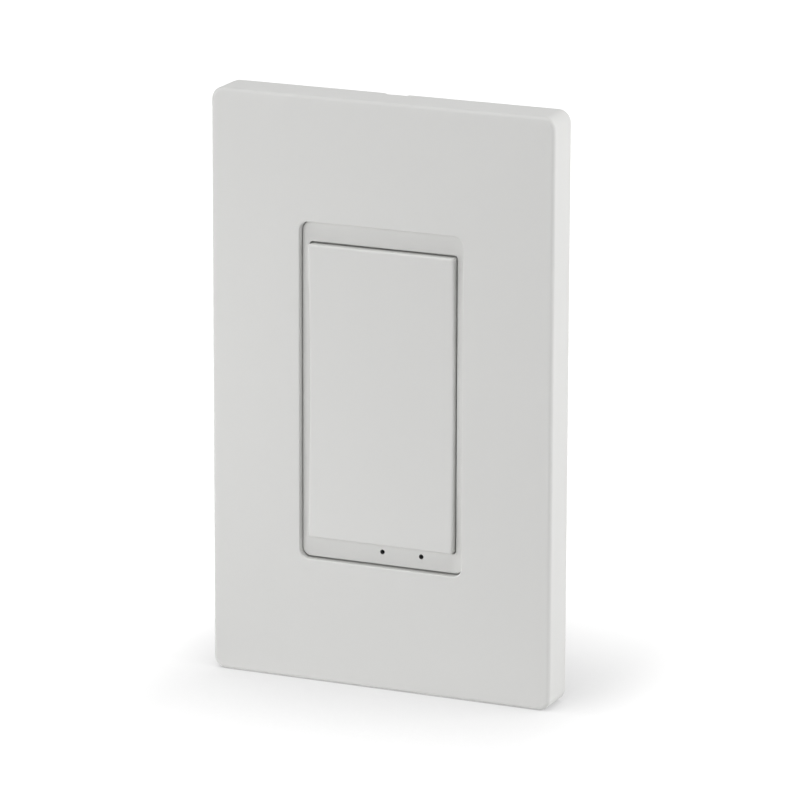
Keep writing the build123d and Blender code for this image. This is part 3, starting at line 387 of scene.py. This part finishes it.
finishes = {
    "plate_plastic": mouldedPlastic("plateWhite", (0.80, 0.80, 0.785), {
        "rough": 0.42, "grainScale": 5200, "grain": 0.10, "grainDepth": 0.00002}),
    "frame_plastic": mouldedPlastic("frameWhite", (0.785, 0.785, 0.77), {
        "rough": 0.44, "grainScale": 5200, "grain": 0.10, "grainDepth": 0.00002}),
    "rocker_plastic": mouldedPlastic("rockerWhite", (0.80, 0.80, 0.785), {
        "rough": 0.40, "grainScale": 5200, "grain": 0.08, "grainDepth": 0.00002}),
    "adapter_plastic": mouldedPlastic("adapterWhite", (0.74, 0.74, 0.725), {
        "rough": 0.5, "grainScale": 3800, "grain": 0.15, "grainDepth": 0.00003}),
    "housing_plastic": mouldedPlastic("housingGrey", (0.035, 0.036, 0.039), {
        "rough": 0.52, "grainScale": 2600, "grain": 0.35, "grainDepth": 0.00005, "shift": 0.15}),
    "retainer_fibre": mouldedPlastic("pressedFibre", (0.62, 0.55, 0.42), {
        "rough": 0.85, "grainScale": 1800, "grain": 0.6, "grainDepth": 0.00006, "shift": 0.2}),
    "strap_steel": platedSteel("strapZinc", (0.62, 0.63, 0.64), 0.36, (1, 1, 0.06), 0.12),
    "screw_steel": platedSteel("screwZinc", (0.66, 0.66, 0.67), 0.28, (1, 0.2, 1), 0.08),
    "terminal_brass": platedSteel("plainBrass", (0.72, 0.53, 0.24), 0.30, (1, 0.2, 1), 0.08),
    "earth_green": platedSteel("earthGreen", (0.05, 0.32, 0.12), 0.34, (1, 0.2, 1), 0.08),
    "shield_metal": platedSteel("shieldTin", (0.70, 0.70, 0.70), 0.38, (1, 1, 0.1), 0.10),
    "board_laminate": mouldedPlastic("greenMask", (0.02, 0.13, 0.05), {
        "rough": 0.35, "grainScale": 1500, "grain": 0.2, "grainDepth": 0.00003, "shift": 0.25}),
    "module_laminate": mouldedPlastic("blueMask", (0.015, 0.03, 0.09), {
        "rough": 0.35, "grainScale": 1500, "grain": 0.2, "grainDepth": 0.00003, "shift": 0.25}),
    "chip_plastic": mouldedPlastic("chipBlack", (0.02, 0.02, 0.021), {
        "rough": 0.55, "grainScale": 4200, "grain": 0.25, "grainDepth": 0.00003, "shift": 0.1}),
    "plunger_plastic": mouldedPlastic("plungerBlack", (0.03, 0.03, 0.03), {
        "rough": 0.4, "grainScale": 4200, "grain": 0.1, "grainDepth": 0.00002, "shift": 0.1}),
    "relay_plastic": mouldedPlastic("relayBlue", (0.02, 0.09, 0.36), {
        "rough": 0.3, "grainScale": 4200, "grain": 0.06, "grainDepth": 0.00002, "shift": 0.05}),
    "ferrite": mouldedPlastic("ferriteGrey", (0.045, 0.045, 0.047), {
        "rough": 0.7, "grainScale": 2600, "grain": 0.5, "grainDepth": 0.00005, "shift": 0.3}),
    "winding_tape": mouldedPlastic("windingTape", (0.66, 0.44, 0.06), {
        "rough": 0.28, "grainScale": 900, "grain": 0.1, "grainDepth": 0.00004, "shift": 0.06}),
    "can_sleeve": mouldedPlastic("canSleeve", (0.015, 0.017, 0.03), {
        "rough": 0.3, "grainScale": 1200, "grain": 0.08, "grainDepth": 0.00003, "shift": 0.1}),
    "film_box": mouldedPlastic("filmBox", (0.50, 0.37, 0.08), {
        "rough": 0.5, "grainScale": 4200, "grain": 0.15, "grainDepth": 0.00003, "shift": 0.06}),
    "varistor_resin": mouldedPlastic("dippedResin", (0.03, 0.10, 0.32), {
        "rough": 0.3, "grainScale": 900, "grain": 0.2, "grainDepth": 0.00005, "shift": 0.08}),
    "fuse_sleeve": mouldedPlastic("fuseSleeve", (0.45, 0.44, 0.40), {
        "rough": 0.5, "grainScale": 1600, "grain": 0.15, "grainDepth": 0.00004, "shift": 0.08}),
    "led_resin": mouldedPlastic("ledResin", (0.80, 0.78, 0.52), {
        "rough": 0.25, "grainScale": 4200, "grain": 0.05, "grainDepth": 0.00002, "shift": 0.04}),
    "clear_plastic": mouldedPlastic("lightGuide", (0.30, 0.31, 0.32), {
        "rough": 0.15, "grainScale": 4200, "grain": 0.03, "grainDepth": 0.00001, "shift": 0.02}),
}
# Painted shade inside the two pinholes of the frame's lower band
paintPinholeShade(finishes["frame_plastic"])
lightGuide = finishes["clear_plastic"].node_tree.nodes["Principled BSDF"]
lightGuide.inputs["Transmission Weight"].default_value = 0.85
print("finishes:", len(finishes))


# Tools for the surfaces below, which are worked out in millimetres and put into the mesh in metres
def roundedLoop(width, height, radius, arcSteps=8, across=(), up=()):
    # A rounded rectangle in X and Z, anticlockwise seen from the room. On each corner's circle the point is
    # centre + radius * (cos a, sin a), and each straight run is divided at the shares given for it.
    right, top = width / 2 - radius, height / 2 - radius
    centres = np.array([(right, -top), (right, top), (-right, top), (-right, -top)])
    angles = np.radians(90 * np.arange(4)[:, None] - 90 + np.linspace(0, 90, arcSteps + 1))
    arcs = centres[:, None] + radius * np.stack([np.cos(angles), np.sin(angles)], axis=-1)
    runs = []
    for corner in range(4):
        shares = np.asarray(across if corner % 2 else up, float)[:, None]
        begin, end = arcs[corner, -1], arcs[(corner + 1) % 4, 0]
        runs += [arcs[corner], begin + (end - begin) * shares]
    return np.concatenate(runs)


def quarter(begin, end, steps, level):
    # A quarter round between two points of a profile: sine along the axis it leaves by, one minus cosine
    # along the other. level is True where it leaves along the first axis.
    a = np.linspace(0, math.pi / 2, steps + 1)[1:]
    lead, follow = np.sin(a), 1 - np.cos(a)
    first, second = (lead, follow) if level else (follow, lead)
    begin, end = np.asarray(begin, float), np.asarray(end, float)
    return list(begin + (end - begin) * np.stack([first, second], axis=-1))


def standing(loop, depth):
    # Gives a loop of X and Z its depth along Y, one number or one for each point
    return np.stack([loop[:, 0], np.broadcast_to(depth, len(loop)), loop[:, 1]], axis=-1)


def gridFaces(index):
    # Four-sided faces between the neighbours in a grid of point numbers
    return np.stack([index[:-1, :-1], index[:-1, 1:], index[1:, 1:], index[1:, :-1]], axis=-1).reshape(-1, 4)


def surface(rows, ring=False):
    # Faces between each row of points and the next, and ring joins the last row to the first
    rows = np.asarray(rows, float)
    index = np.arange(rows.shape[0] * rows.shape[1]).reshape(rows.shape[:2])
    index = np.concatenate([index, index[:, :1]], axis=1)
    if ring:
        index = np.concatenate([index, index[:1]], axis=0)
    return rows.reshape(-1, 3), gridFaces(index)


def softBlock(xRange, yRange, zRange, corner, edge, steps=3):
    # A block with rounded corners and edges: rounded rectangles whose inset and depth follow a quarter
    # circle at both ends, and shrink to their middle line to close the ends
    width, height = xRange[1] - xRange[0], zRange[1] - zRange[0]
    middle = np.array([(xRange[0] + xRange[1]) / 2, 0, (zRange[0] + zRange[1]) / 2])
    near, far = yRange
    inner = min(width, height) / 2
    profile = [(inner, far), (edge, far)] + quarter((edge, far), (0, far - edge), steps, True)
    profile += [(0, near + edge)] + quarter((0, near + edge), (edge, near), steps, False) + [(inner, near)]
    rows = [standing(roundedLoop(width - 2 * inset, height - 2 * inset, max(corner - inset, 0), 4), depth)
            for inset, depth in profile]
    return surface(np.array(rows) + middle)


ribs = {"corner": 0.05, "edge": 0.15, "sink": 0.05}       # sink is how far a rib runs into its wall


def rib(xRange, yRange, zRange):
    return softBlock(xRange, yRange, zRange, ribs["corner"], ribs["edge"])


def turned(profile, x, z, steps=32):
    # A profile of (radius, depth) carried round a line along Y: x + r cos a, depth, z + r sin a
    a = np.linspace(0, 2 * math.pi, steps, endpoint=False)
    radius, depth = np.asarray(profile, float).T
    ring = np.stack([np.cos(a), np.zeros(steps), np.sin(a)], axis=-1)
    rows = radius[:, None, None] * ring + np.array([x, 0, z])
    rows[:, :, 1] += depth[:, None]
    return surface(rows)


def prism(outline, begin, end, axis):
    # A convex outline carried straight along X or Z, its ends closed by fans. The outline's numbers are
    # (y, z) for X and (x, y) for Z.
    outline = np.asarray(outline, float)
    middle = np.broadcast_to(outline.mean(axis=0), outline.shape)
    rows = []
    for flat, place in ((middle, begin), (outline, begin), (outline, end), (middle, end)):
        along = np.full(len(outline), place)
        parts = (along, flat[:, 0], flat[:, 1]) if axis == "X" else (flat[:, 0], flat[:, 1], along)
        rows.append(np.stack(parts, axis=-1))
    return surface(rows)


def crossRod(y, z, radius, begin, end, edge, steps=24):
    # The same turned profile, with its line along X
    profile = [(0, begin), (radius - edge, begin), (radius, begin + edge),
               (radius, end - edge), (radius - edge, end), (0, end)]
    points, faces = turned(profile, 0, 0, steps)
    return np.stack([points[:, 1], points[:, 0] + y, points[:, 2] + z], axis=-1), faces


smoothing = {
    "mergeWithin": 1e-6,                # metres
    "sharpAngle": math.radians(34),
    "faceWeight": 60,                   # how far large faces rule the shading
}


def shadeRounded(obj):
    # Edges sharper than the limit stay sharp, the rest shades round with the large faces kept flat
    work = bmesh.new()
    work.from_mesh(obj.data)
    bmesh.ops.remove_doubles(work, verts=work.verts, dist=smoothing["mergeWithin"])
    for edge in work.edges:
        edge.smooth = edge.calc_face_angle(math.pi) < smoothing["sharpAngle"]
    for face in work.faces:
        face.smooth = True
    work.to_mesh(obj.data)
    work.free()
    weigh = obj.modifiers.new("weighNormals", "WEIGHTED_NORMAL")
    weigh.keep_sharp = True
    weigh.weight = smoothing["faceWeight"]


def newPiece(name, surfaces):
    # One object from several closed surfaces, with doubles merged and every face outwards
    starts = np.cumsum([0] + [len(points) for points, faces in surfaces])
    points = np.concatenate([points for points, faces in surfaces]) * mm
    faces = np.concatenate([faces + begin for (_, faces), begin in zip(surfaces, starts)])
    mesh = bpy.data.meshes.new(name)
    mesh.from_pydata(points.tolist(), [], faces.tolist())
    work = bmesh.new()
    work.from_mesh(mesh)
    bmesh.ops.remove_doubles(work, verts=work.verts, dist=smoothing["mergeWithin"])
    bmesh.ops.dissolve_degenerate(work, edges=work.edges, dist=smoothing["mergeWithin"])
    bmesh.ops.recalc_face_normals(work, faces=work.faces)
    work.to_mesh(mesh)
    work.free()
    obj = bpy.data.objects.new(name, mesh)
    bpy.context.scene.collection.objects.link(obj)
    shadeRounded(obj)
    return obj


def smoothCopy(nodeName):
    # A merged copy of a CAD node with true rounded shading
    mesh = nodes[nodeName].data.copy()
    mesh.name = nodeName + "Shell"
    mesh.materials.clear()
    obj = bpy.data.objects.new(nodeName + "Shell", mesh)
    bpy.context.scene.collection.objects.link(obj)
    shadeRounded(obj)
    mesh.normals_split_custom_set([(0, 0, 0)] * len(mesh.loops))
    return obj


dressed = set()


def dress(obj, nodeName):
    # Gives a piece its node's finish, body and slot, and puts it in the node's place
    obj.data.materials.clear()
    obj.data.materials.append(finishes[slotOf[nodeName]])
    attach(obj, bodyOf[nodeName])
    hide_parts(nodeName)
    dressed.add(nodeName)


coverPlate = {
    "width": 69.85, "height": 114.3, "depth": 8.0, "corner": 2.4, "edgeRound": 0.75,
    "sideWall": 2.0, "frontWall": 2.2, "innerRound": 0.3, "rimRound": 0.12,
    "openingWidth": 33.4, "openingTop": 32.85, "openingFoot": -33.0,
    "openingCorner": 1.8, "openingRound": 0.25,
    "lip": 1.4, "lipDepth": 1.6,
    "notchWidth": 4.6, "notchDepth": 0.9,
    "ridgeLength": 12.0, "ridgeHeight": 0.9, "ridgeThickness": 0.8, "ridgeCatch": -1.2,
    "ridgeSide": 37.75, "ridgeEnd": 15.525,       # how far the outer ridges stand from the middle
    "ribPlace": 45.045, "ribThickness": 1.0, "ribEnd": -3.6,
    "cornerSteps": 8, "edgeSteps": 8, "mouthSteps": 6, "smallSteps": 3,
}


def makeCoverPlate():
    # The whole shell is one closed profile carried round the plate: up the outer wall, over the rounded
    # edge, across the front to the opening, round its lip and back inside. Each row is a rounded rectangle
    # at its own inset and depth, and the front is shared out between the outer and the inner rectangle.
    p = coverPlate
    wide, high, front = p["width"], p["height"], -p["depth"]
    inside = front + p["frontWall"]
    half = wide / 2 - p["corner"]
    notch = p["notchWidth"] / 2 / half / 2
    shares = [0.1, 0.2, 0.3, 0.4, 0.5 - notch, 0.5 - notch, 0.5]
    shares += [0.5 + notch, 0.5 + notch, 0.6, 0.7, 0.8, 0.9]
    inNotch = [abs(share - 0.5) < notch * 1.001 for share in shares]
    inNotch[4] = inNotch[8] = False                  # the outer one of each doubled column stays on the rim
    up = np.linspace(0, 1, 17)[1:-1]
    arcSteps, edgeSteps, mouthSteps, few = (p[key + "Steps"] for key in ("corner", "edge", "mouth", "small"))
    arc, side = [False] * (arcSteps + 1), [False] * len(up)
    cut = np.array((arc + side + arc + inNotch) * 2)

    def outer(inset, depth):
        loop = roundedLoop(wide - 2 * inset, high - 2 * inset, p["corner"] - inset, arcSteps, shares, up)
        return standing(loop, np.where(cut, min(depth, -p["notchDepth"]), depth))

    def inner(outset, depth):
        loop = roundedLoop(p["openingWidth"] + 2 * outset, p["openingTop"] - p["openingFoot"] + 2 * outset,
                           p["openingCorner"] + outset, arcSteps, shares, up)
        return standing(loop + np.array([0, (p["openingTop"] + p["openingFoot"]) / 2]), depth)

    def between(first, last, steps):
        part = np.linspace(0, 1, steps + 1)[1:-1, None, None]
        return list(first * (1 - part) + last * part)

    rim, edge, fold, lipEnd = p["rimRound"], p["edgeRound"], p["innerRound"], inside + p["lipDepth"]
    wall = p["sideWall"]
    rows = [outer(rim, 0)] + [outer(*at) for at in quarter((rim, 0), (0, -rim), few, True)]
    rows += [outer(0, -p["notchDepth"]), outer(0, front / 2), outer(0, front + edge)]
    rows += [outer(*at) for at in quarter((0, front + edge), (edge, front), edgeSteps, False)]
    lip, mouth = p["lip"], p["openingRound"]
    opening = [inner(mouth, front)]
    opening += [inner(*at) for at in quarter((mouth, front), (0, front + mouth), mouthSteps, True)]
    opening += [inner(0, inside), inner(0, lipEnd - rim)]
    opening += [inner(*at) for at in quarter((0, lipEnd - rim), (rim, lipEnd), few, False)]
    opening += [inner(lip - rim, lipEnd)]
    opening += [inner(*at) for at in quarter((lip - rim, lipEnd), (lip, lipEnd - rim), few, True)]
    opening += [inner(lip, inside + fold)]
    opening += [inner(*at) for at in quarter((lip, inside + fold), (lip + fold, inside), few, False)]
    back = [outer(wall + fold, inside)]
    back += [outer(*at) for at in quarter((wall + fold, inside), (wall, inside + fold), few, True)]
    back += [outer(wall, front / 2), outer(wall, -p["notchDepth"]), outer(wall, -rim)]
    back += [outer(*at) for at in quarter((wall, -rim), (wall - rim, 0), few, False)]
    rows += between(rows[-1], opening[0], 5) + opening + between(opening[-1], back[0], 3) + back
    surfaces = [surface(rows, ring=True)]

    catch, tall, thick = p["ridgeCatch"], p["ridgeHeight"], p["ridgeThickness"]
    sink, ribHalf = ribs["sink"], p["ribThickness"] / 2
    reach, length = wide / 2 - wall, p["ridgeLength"] / 2
    for turn in (-1, 1):
        wedge = [(turn * (reach + sink), catch), (turn * (reach - tall), catch),
                 (turn * (reach - tall), catch + thick / 3), (turn * (reach + sink), catch + thick)]
        surfaces += [prism(wedge, middle - length, middle + length, "Z")
                     for middle in (-p["ridgeSide"], 0, p["ridgeSide"])]
        end = turn * (high / 2 - wall)
        wedge = [(catch, end + turn * sink), (catch, end - turn * tall),
                 (catch + thick / 3, end - turn * tall), (catch + thick, end + turn * sink)]
        surfaces += [prism(wedge, middle - length, middle + length, "X")
                     for middle in (-p["ridgeEnd"], p["ridgeEnd"])]
        level = turn * p["ribPlace"]
        surfaces.append(rib((-reach - sink, reach + sink), (inside - sink, p["ribEnd"]),
                            (level - ribHalf, level + ribHalf)))
    return newPiece("coverPlateShell", surfaces)


dress(makeCoverPlate(), "cover_plate")
print("cover plate made")


rocker = {
    "width": 29.8, "height": 57.2, "corner": 0.45, "edgeRound": 0.4, "sideRound": 0.5, "rimRound": 0.12,
    "endFace": -8.248, "hollow": 0.7, "wall": 1.7, "skirt": 1.2, "depth": 3.9,
    "innerRound": 0.3, "ribPlace": 11.3, "ribThickness": 1.0, "ribEnd": -4.85, "root": -6.7,
    "webPlace": 6.8, "webThickness": 1.8, "webRadius": 1.9,
    "pivotLine": -3.0, "stubRadius": 1.0, "stubEnd": 10.2, "stubEdge": 0.1,
    "postPlace": 20.0, "postRadius": 1.9, "postTip": -1.36, "postRound": 0.25,
}


def makeRocker():
    # The skin is one profile carried round the rocker, from the middle of the cavity out over the skirt and
    # back to the middle of the face. Its depth follows the hollow's arc,
    # y = middle - radius + sqrt(radius^2 - z^2), where radius = ((height / 2)^2 + hollow^2) / (2 hollow).
    p = rocker
    wide, high = p["width"], p["height"]
    radius = ((high / 2) ** 2 + p["hollow"] ** 2) / (2 * p["hollow"])
    middle = p["endFace"] + p["hollow"]
    back = middle + p["depth"]
    up = np.linspace(0, 1, 49)[1:-1]

    def ring(inset, behind, share=1.0, rounding=False):
        # behind is the depth behind the face's arc, and share runs from the back edge at 0 to that depth
        # at 1. The front rounding is wider at the sides: there the inset is stretched up to sideRound, and
        # eased back to the middle.
        width = wide - 2 * inset
        if rounding:
            width = 2 * np.interp(inset, [0, p["edgeRound"], wide / 2],
                                  [wide / 2, wide / 2 - p["sideRound"], 0])
        loop = roundedLoop(width, high - 2 * inset, max(p["corner"] - inset, 0), 6, (0.25, 0.5, 0.75), up)
        face = middle - radius + np.sqrt(radius ** 2 - loop[:, 1] ** 2)
        return standing(loop, back + (face + behind - back) * share)

    skirt, edge, rim = p["skirt"], p["edgeRound"], p["rimRound"]
    wall, fold = p["wall"], p["innerRound"]
    rows = [ring(inset, wall) for inset in np.linspace(wide / 2, skirt + fold, 6)]
    rows += [ring(inset, behind) for inset, behind in
             quarter((skirt + fold, wall), (skirt, wall + fold), 3, True)]
    rows += [ring(skirt, wall + fold, share) for share in (0.5, 0.0)]
    rows += [ring(rim, edge, 0.0)]
    rows += [ring(inset, edge, share) for inset, share in quarter((rim, 0.0), (0, rim / 3), 3, True)]
    rows += [ring(0, edge, share, True) for share in (0.5, 1.0)]
    rows += [ring(inset, behind, 1.0, True) for inset, behind in quarter((0, edge), (edge, 0), 9, False)]
    rows += [ring(inset, 0.0, 1.0, True) for inset in np.linspace(edge, wide / 2, 12)[1:]]
    surfaces = [surface(rows)]

    inX, inZ = wide / 2 - skirt + ribs["sink"], high / 2 - skirt + ribs["sink"]
    root, end, thick = p["root"], p["ribEnd"], p["ribThickness"] / 2
    line, web = p["pivotLine"], p["webRadius"]
    tip, post, soft = p["postTip"], p["postRadius"], p["postRound"]
    for turn in (-1, 1):
        place, level = turn * p["ribPlace"], turn * high / 4
        surfaces += [rib((place - thick, place + thick), (root, end), (-inZ, inZ)),
                     rib((-inX, inX), (root, end), (level - thick, level + thick))]
        # The web ends in a half round about the pivot: line + web * cos a, web * sin a
        bend = np.linspace(-math.pi / 2, math.pi / 2, 13)
        outline = [(root, -web)] + list(zip(line + web * np.cos(bend), web * np.sin(bend))) + [(root, web)]
        webHalf = p["webThickness"] / 2
        ends = sorted((turn * (p["webPlace"] - webHalf), turn * (p["webPlace"] + webHalf)))
        surfaces.append(prism(outline, *ends, "X"))
        ends = sorted((turn * p["webPlace"], turn * p["stubEnd"]))
        surfaces.append(crossRod(line, 0, p["stubRadius"], *ends, p["stubEdge"]))
        profile = [(0, tip), (post - soft, tip)] + quarter((post - soft, tip), (post, tip - soft), 4, True)
        surfaces.append(turned(profile + [(post, root), (0, root)], 0, turn * p["postPlace"]))
    return newPiece("rockerShell", surfaces)


dress(makeRocker(), "rocker")
print("rocker made")


boxScrew = {
    "spacing": 83.34, "headTop": -3.3, "seat": -1.3, "headRadius": 4.0, "headRim": 0.5,
    "slotWidth": 1.0, "slotDepth": 0.8, "domePower": 2.6,
    "neckRadius": 1.45, "neckEnd": 0.45, "neckSink": 0.2, "radius": 1.7, "tip": 20.7, "point": 1.2,
    "pointShare": 0.5, "pitch": 0.8, "threadDepth": 0.24, "ringsPerTurn": 10,
    "grooveSlope": 1.25, "grooveCrest": 0.12,
}


def slottedHead(p, x, z):
    # The head's top is a disc on a grid: x at fixed shares of the radius, z = v * sqrt(R^2 - x^2). It lies
    # rise * (1 - sqrt(1 - (r / R)^power)) below the top, a dome, and between the slot's doubled columns it
    # is the slot's floor. A wall from the disc's edge down to the seat closes it.
    radius, half, top = p["headRadius"], p["slotWidth"] / 2, p["headTop"]
    side = radius * np.sin(np.linspace(math.asin(half / radius), math.pi / 2, 12))
    across = np.concatenate([-side[::-1], [-half, half], side])
    inSlot = np.zeros(len(across), bool)
    inSlot[len(side):len(side) + 2] = True
    v = np.sin(np.linspace(-math.pi / 2, math.pi / 2, 21))[:, None]
    xs = np.broadcast_to(across, (len(v), len(across)))
    zs = v * np.sqrt(np.maximum(radius ** 2 - across ** 2, 0))
    share = np.clip(np.hypot(xs, zs) / radius, 0, 1)
    dome = (p["seat"] - top - p["headRim"]) * (1 - np.sqrt(1 - share ** p["domePower"]))
    depth = top + np.where(inSlot, np.maximum(p["slotDepth"], dome), dome)
    grid = np.stack([xs + x, depth, zs + z], axis=-1)
    faces = gridFaces(np.arange(grid.shape[0] * grid.shape[1]).reshape(grid.shape[:2]))
    edge = np.concatenate([grid[0], grid[-1, ::-1]])
    seat = edge.copy()
    seat[:, 1] = p["seat"]
    centre = np.broadcast_to(np.array([x, p["seat"], z]), edge.shape)
    wallPoints, wallFaces = surface([centre, seat, edge])
    points = grid.reshape(-1, 3)
    return np.concatenate([points, wallPoints]), np.concatenate([faces, wallFaces + len(points)])


def threadedShank(p, x, z, steps=40):
    # Radius = R - depth * cut, where cut = slope * |2 f - 1| - crest, kept from 0 to 1, and f is the
    # fraction of (y / pitch - a / 2 pi). The cut fades in over one pitch behind the neck, and towards the
    # tip the radius runs down to its share.
    begin, end = p["neckEnd"], p["tip"]
    a = np.linspace(0, 2 * math.pi, steps, endpoint=False)
    y = np.linspace(end, begin, int(abs(end - begin) / p["pitch"] * p["ringsPerTurn"]))[:, None]
    f = np.mod(y / p["pitch"] - a / (2 * math.pi), 1)
    cut = np.clip(np.abs(2 * f - 1) * p["grooveSlope"] - p["grooveCrest"], 0, 1)
    fade = np.clip((y - begin) / p["pitch"], 0, 1)
    point = np.clip((end - y) / p["point"], 0, 1)
    taper = p["pointShare"] + (1 - p["pointShare"]) * point
    radius = (p["radius"] - p["threadDepth"] * cut * fade) * taper
    deep = np.broadcast_to(y, radius.shape)
    body = np.stack([x + radius * np.cos(a), deep, z + radius * np.sin(a)], axis=-1)

    def disc(size, depth):
        return np.stack([x + size * np.cos(a), np.full(steps, depth), z + size * np.sin(a)], axis=-1)

    neck, top = p["neckRadius"], p["seat"] - p["neckSink"]
    rows = [disc(0, end)] + list(body)
    rows += [disc(p["radius"], begin), disc(neck, begin), disc(neck, top), disc(0, top)]
    return surface(rows)


def makeBoxScrews():
    surfaces = []
    for turn in (-1, 1):
        place = turn * boxScrew["spacing"] / 2
        surfaces += [slottedHead(boxScrew, 0, place), threadedShank(boxScrew, 0, place)]
    return newPiece("boxScrewPair", surfaces)


dress(makeBoxScrews(), "box_screws")
print("box screws made")


frontFrame = {
    "aperture": 15.4,      # half the width that the solid's aperture has
    "narrower": 0.3,       # how much further in each of its sides stands here
    "begin": 14.4, "end": 15.6, "height": 29.1, "behind": -5.0,
}


def makeFrontFrame():
    # Moves the aperture's side walls in, closer to the rocker: x' = x - sign(x) * narrower * s(t), where t
    # runs from 0 at begin to 1 at the wall and s is the smooth step 3 t^2 - 2 t^3.
    p = frontFrame
    obj = smoothCopy("front_frame")
    points = np.empty(len(obj.data.vertices) * 3)
    obj.data.vertices.foreach_get("co", points)
    x, y, z = points.reshape(-1, 3).T / mm
    near = (np.abs(x) > p["begin"]) & (np.abs(x) < p["end"]) & (np.abs(z) < p["height"]) & (y < p["behind"])
    t = np.clip((np.abs(x) - p["begin"]) / (p["aperture"] - p["begin"]), 0, 1)
    x = x - np.sign(x) * near * p["narrower"] * (3 * t ** 2 - 2 * t ** 3)
    obj.data.vertices.foreach_set("co", np.stack([x, y, z], axis=-1).ravel() * mm)
    obj.data.update()
    return obj


dress(makeFrontFrame(), "front_frame")
print("front frame made")


for nodeName in nodes:
    if nodeName not in dressed:
        dress(smoothCopy(nodeName), nodeName)
print("pieces dressed:", len(dressed))
